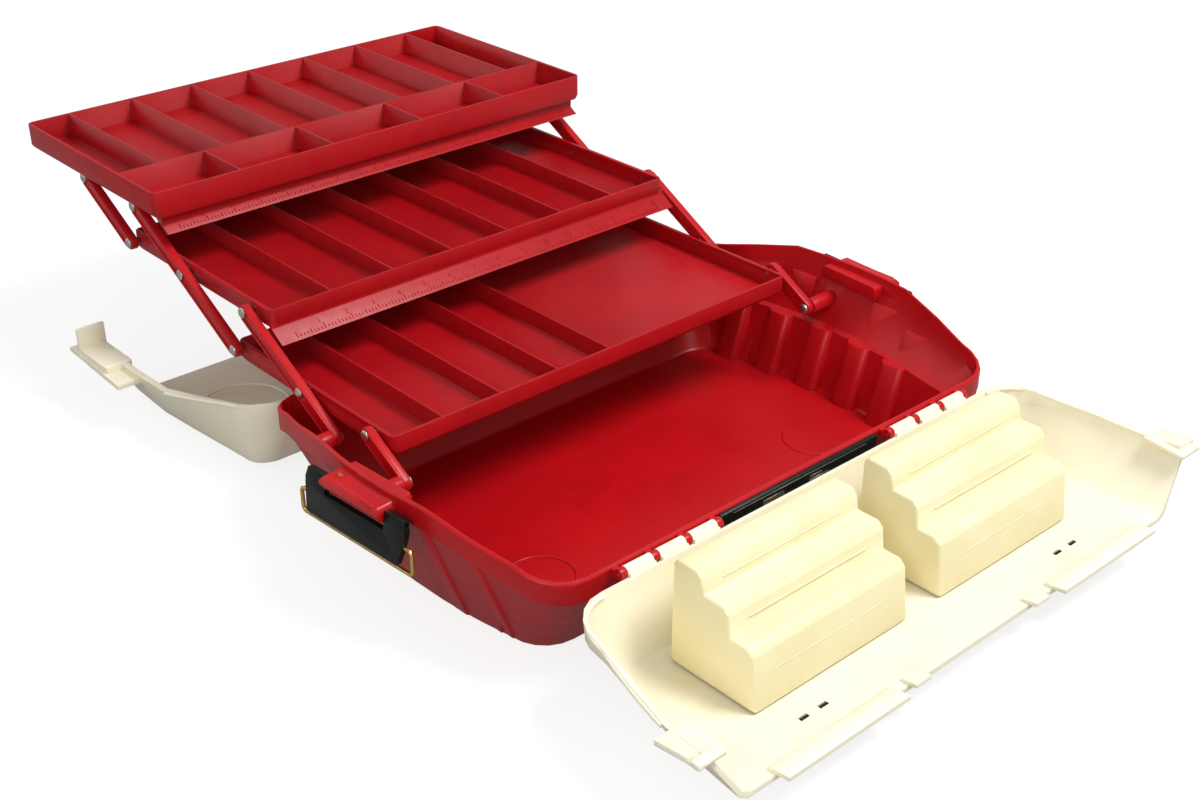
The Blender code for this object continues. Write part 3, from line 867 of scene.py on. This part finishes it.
    def rear_ring(self) -> bpy.types.Object:
        """The round moulded ring and the small upright fin near each end of the rear lid's roof.

        Returns:
            The joined rings and fins.
        """
        roof = surface("rear_lid")
        made = []
        for side in Side:
            x, y = side.value * self.ring_place[0], self.ring_place[1]
            floor = meet(roof, (x, y, 60.0), (0, 0, -1)).z
            only_none()
            bpy.ops.mesh.primitive_torus_add(
                major_segments=64, minor_segments=8,
                major_radius=self.ring_radius * MM, minor_radius=1.3 * MM,
                location=(x * MM, y * MM, (floor + 0.2) * MM))
            ring = settle(bpy.context.object, "ring")
            only(ring)
            bpy.ops.object.shade_smooth_by_angle(angle=math.radians(60))
            fin = block("fin", (x - 1.2, y - self.ring_radius, floor - 0.5),
                        (x + 1.2, y - 12.0, floor + 15.0))
            push(fin, lambda p: p.z > floor + 5 and p.y > y - 20, (0, -18.0, 0))
            made += [ring, soften(fin, 0.5)]
        return joined("rear_rings", made)


@dataclass
class Trays:
    """The three folding trays and the ruler marks on their lips."""

    step_mm: float = 3.175
    names: tuple[tuple[str, str], ...] = (
        ("lower_tray", "lower_tray_set"),
        ("middle_tray", "middle_tray_set"),
        ("upper_tray", "upper_tray_set"),
    )

    def build(self) -> None:
        """Builds and dresses the trays and their marks."""
        # The trays and their marks take the darker red, which is painted shade for the shade in the trays'
        # pockets.
        for node, body in self.names:
            shell = moulded_copy(node, node.replace("_tray", "_shelf"), 0.5, 2)
            dress(shell, TRAY_RED_PAINTED_SHADE, body)
        dress(self.ruler("middle_ruler", (173.6, 122.4), 33.7, 190.5), TRAY_RED_PAINTED_SHADE, "middle_tray_set")
        dress(self.ruler("upper_ruler", (316.6, 170.8), 32.0, 203.2), TRAY_RED_PAINTED_SHADE, "upper_tray_set")

    def ruler(self, name: str, edge: tuple[float, float], slope: float, half: float) -> bpy.types.Object:
        """Raised marks an eighth of an inch apart along a sloping lip, with a number at each inch.

        Args:
            name: The piece's name.
            edge: The y and z of the lip's lower edge.
            slope: The lip's slope in degrees.
            half: Half the length that carries marks.

        Returns:
            The joined marks.
        """
        marks = []
        turn = Matrix.Rotation(math.radians(slope), 4, "X")
        for i in range(round(2 * half / self.step_mm) + 1):
            length = 5.0 if i % 8 == 0 else 3.6 if i % 4 == 0 else 2.4
            mark = block("mark", (-0.35, 1.6, -0.3), (0.35, 1.6 + length, 0.5))
            push(mark, lambda p: p.z > 0, (0.0, 0.15, 0.0))
            place = shift(i * self.step_mm - half, *edge) @ turn
            mark.data.transform(place)
            marks.append(mark)
            if i % 8 == 0 and i:
                number = self.number(i // 8)
                number.data.transform(place @ shift(-3.6, 7.4, -0.1))
                marks.append(number)
        return joined(name, marks)

    def number(self, value: int) -> bpy.types.Object:
        """A small raised number.

        Args:
            value: The number.

        Returns:
            Its mesh, at the origin.
        """
        only_none()
        bpy.ops.object.text_add(location=(0.0, 0.0, 0.0))
        text = bpy.context.object
        text.data.body = str(value)
        text.data.size = 6.0 * MM
        text.data.extrude = 0.5 * MM
        text.data.resolution_u = 2
        bpy.ops.object.convert(target="MESH")
        return settle(bpy.context.object, "number")


@dataclass
class Linkage:
    """The eight links with their raised edges, and the rivets that they turn on.

    Attributes:
        lift: The angle of every link above level, in radians.
        faces: The distances of a link's two faces from the middle.
        bars: Each link's lower pivot (y, z), its length and its number of rivets.
    """

    lift: float = math.radians(29.0)
    faces: tuple[float, float] = (209.0, 215.0)
    bars: dict[str, tuple[float, float, float, int, str]] = field(default_factory=lambda: {
        "short_front_link": (14.0, 76.0, 46.0, 2, "short_front_links"),
        "long_front_link": (100.0, 76.0, 129.0, 3, "long_front_links"),
        "long_rear_link": (234.0, 98.3, 161.5, 3, "long_rear_links"),
        "short_rear_link": (392.0, 138.54, 78.5, 2, "short_rear_links"),
    })

    def build(self) -> None:
        """Builds and dresses the links and rivets."""
        for name, (y, z, length, rivets, body) in self.bars.items():
            for side in Side:
                bar = moulded_copy(f"{name}_{side.word}", f"{name}_bar_{side.word}", 0.5, 2)
                dress(bar, RED, body)
                dress(self.edges(name, side, y, z, length), RED, body)
                for number in range(1, rivets + 1):
                    node = f"{name}_rivet_{number}_{side.word}"
                    head = moulded_copy(node, f"{name}_stud_{number}_{side.word}", 0.35, 2)
                    dress(head, STEEL, self.rivet_body(node))

    def rivet_body(self, node: str) -> str:
        """The body that carries a rivet.

        Args:
            node: The rivet's node.

        Returns:
            The body's name.
        """
        return next(o["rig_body"] for o in bpy.data.objects if o.get("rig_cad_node") == node)

    def edges(self, name: str, side: Side, y: float, z: float, length: float) -> bpy.types.Object:
        """The two raised edges that stiffen one link's outer face.

        Args:
            name: The link's name.
            side: The end of the box.
            y: The lower pivot's y.
            z: The lower pivot's z.
            length: The distance between the end pivots.

        Returns:
            The joined edges.
        """
        made = []
        x0, x1 = sorted((side.value * (self.faces[1] - 0.8), side.value * (self.faces[1] + 1.1)))
        for place in (-4.9, 4.9):
            rail = block("rail", (x0, 1.0, place - 0.9), (x1, length - 1.0, place + 0.9))
            made.append(soften(rail, 0.6, 3))
        pair = joined(f"{name}_rails_{side.word}", made)
        pair.data.transform(shift(0, y, z) @ Matrix.Rotation(self.lift, 4, "X"))
        return pair


@dataclass
class Latches:
    """The draw latch at each end: a black plate, a brass wire and a brass pin.

    Attributes:
        swell: How much the wire is thickened on each side.
        eye: The x and y of the pin's eye in the ledge.
    """

    swell: float = 0.45
    eye: tuple[float, float] = (262.0, 16.0)

    def ledge_eye(self, side: Side) -> bpy.types.Object:
        """The raised edge and the ring round the hole on the ledge above one latch.

        Args:
            side: The end of the box.

        Returns:
            The joined edge and ring.
        """
        top = self.ledge_top(side)
        x0, x1 = sorted((side.value * 267.6, side.value * 269.8))
        bead = soften(block("bead", (x0, -32.0, top - 1.6), (x1, 20.0, top + 0.15)), 0.6, 3)
        only_none()
        bpy.ops.mesh.primitive_torus_add(
            major_segments=28, minor_segments=8, major_radius=3.1 * MM, minor_radius=0.8 * MM,
            location=(side.value * self.eye[0] * MM, self.eye[1] * MM, (top + 0.1) * MM))
        ring = settle(bpy.context.object, "eye")
        only(ring)
        bpy.ops.object.shade_smooth_by_angle(angle=math.radians(60))
        return joined(f"ledge_edge_{side.word}", [bead, ring])

    def ledge_pin(self, side: Side) -> bpy.types.Object:
        """The bright pin end in the ledge's hole."""
        top = self.ledge_top(side)
        x, y = side.value * self.eye[0], self.eye[1]
        pin = rod("pin", (x, y, top - 1.0), (x, y, top + 0.7), 1.9)
        return joined(f"ledge_pin_{side.word}", [pin])

    def ledge_top(self, side: Side) -> float:
        """The height of the ledge's top at its eye, in millimetres."""
        return meet(surface("base_tub"), (side.value * self.eye[0], self.eye[1], 130.0), (0, 0, -1)).z

    def build(self) -> None:
        """Builds and dresses both latches."""
        for side in Side:
            word = side.word
            plate = moulded_copy(f"latch_plate_{word}", f"draw_plate_{word}", 1.0, 3)
            dress(plate, BLACK, f"{word}_latch_plate")
            wire = moulded_copy(f"latch_wire_{word}", f"draw_wire_{word}", 0.0)
            modify(wire, "DISPLACE", strength=self.swell * MM, mid_level=0.0)
            dress(wire, BRASS, f"{word}_latch_wire")
            dress(self.ledge_eye(side), RED, "box_base")
            dress(self.ledge_pin(side), BRASS, "box_base")
            dress(moulded_copy(f"latch_pin_{word}", f"draw_pin_{word}", 0.3), BRASS, "box_base")


@dataclass
class Studio:
    """The pale floor, the soft lights and the camera.

    Attributes:
        eye: Where the camera is, in metres.
        aim: Its turn about X, Y and Z in degrees.
        lens: Its focal length in millimetres.
        floor_glow: The floor's own light, as it lights the box and as it is seen.
        sky_light: The strength of the light from all round.
        lamps: Each lamp's name, place in metres, side in metres and power in watts.
    """

    eye: Point = (-0.772, -0.8146, 0.6921)
    aim: Point = (61.0, 0.0, -42.0)
    lens: float = 49.5
    floor_glow: tuple[float, float] = (0.12, 0.8)
    sky_light: float = 0.45
    lamps: tuple[tuple[str, Point, float, float], ...] = (
        ("key", (0.7, -1.0, 2.1), 0.9, 52.0),
        ("fill", (-1.7, -1.1, 1.2), 1.2, 16.0),
        ("rear", (-1.2, 2.2, 1.6), 2.4, 12.0),
    )

    def build(self) -> None:
        """Builds the floor, the lights, the sky and the camera."""
        only_none()
        bpy.ops.mesh.primitive_plane_add(size=14.0, location=(0.0, 0.0, -0.0004))
        floor = bpy.context.object
        floor.name = "pale_floor"
        paint = bpy.data.materials.new("pale_floor")
        paint.use_nodes = True
        shader = paint.node_tree.nodes["Principled BSDF"]
        shader.inputs["Base Color"].default_value = linear("#8c8c8c")
        shader.inputs["Roughness"].default_value = 0.9
        shader.inputs["Specular IOR Level"].default_value = 0.0
        shader.inputs["Emission Color"].default_value = (1.0, 1.0, 1.0, 1.0)
        # The floor looks white, yet throws only a little light back onto the box.
        seen = add_node(paint.node_tree, "ShaderNodeLightPath").outputs["Is Camera Ray"]
        strength = add_node(paint.node_tree, "ShaderNodeMapRange",
                            {"Value": seen, "To Min": self.floor_glow[0], "To Max": self.floor_glow[1]})
        paint.node_tree.links.new(strength.outputs["Result"], shader.inputs["Emission Strength"])
        floor.data.materials.append(paint)
        world = bpy.data.worlds.new("studio")
        bpy.context.scene.world = world
        world.use_nodes = True
        sky = world.node_tree.nodes["Background"]
        sky.inputs["Color"].default_value = (1.0, 1.0, 1.0, 1.0)
        direct = add_node(world.node_tree, "ShaderNodeLightPath").outputs["Is Camera Ray"]
        level = add_node(world.node_tree, "ShaderNodeMapRange",
                         {"Value": direct, "To Min": self.sky_light, "To Max": 1.0})
        world.node_tree.links.new(level.outputs["Result"], sky.inputs["Strength"])
        for lamp in self.lamps:
            self.lamp(*lamp)
        lens = bpy.data.cameras.new("view")
        lens.sensor_width = 36.0
        lens.lens = self.lens
        camera = bpy.data.objects.new("view", lens)
        camera.location = self.eye
        camera.rotation_euler = [math.radians(a) for a in self.aim]
        bpy.context.scene.collection.objects.link(camera)
        bpy.context.scene.camera = camera
        bpy.context.scene.view_settings.view_transform = "Standard"

    def lamp(self, name: str, place: Point, size: float, power: float) -> None:
        """A soft square light aimed at the box.

        Args:
            name: The light's name.
            place: Where it hangs, in metres.
            size: Its side in metres.
            power: Its power in watts.
        """
        light = bpy.data.lights.new(name, "AREA")
        light.size = size
        light.energy = power
        obj = bpy.data.objects.new(name, light)
        obj.location = place
        obj.rotation_euler = (Vector((0.0, 0.05, 0.08)) - Vector(place)).to_track_quat("-Z", "Y").to_euler()
        bpy.context.scene.collection.objects.link(obj)


def main() -> None:
    """Builds the whole scene around the frame."""
    logging.basicConfig(level=logging.INFO, format="%(message)s")
    for part in (BaseTub(), Lids(), Trays(), Linkage(), Latches(), Studio()):
        part.build()
        LOG.info("%s is built", type(part).__name__)


if __name__ == "__main__":
    main()
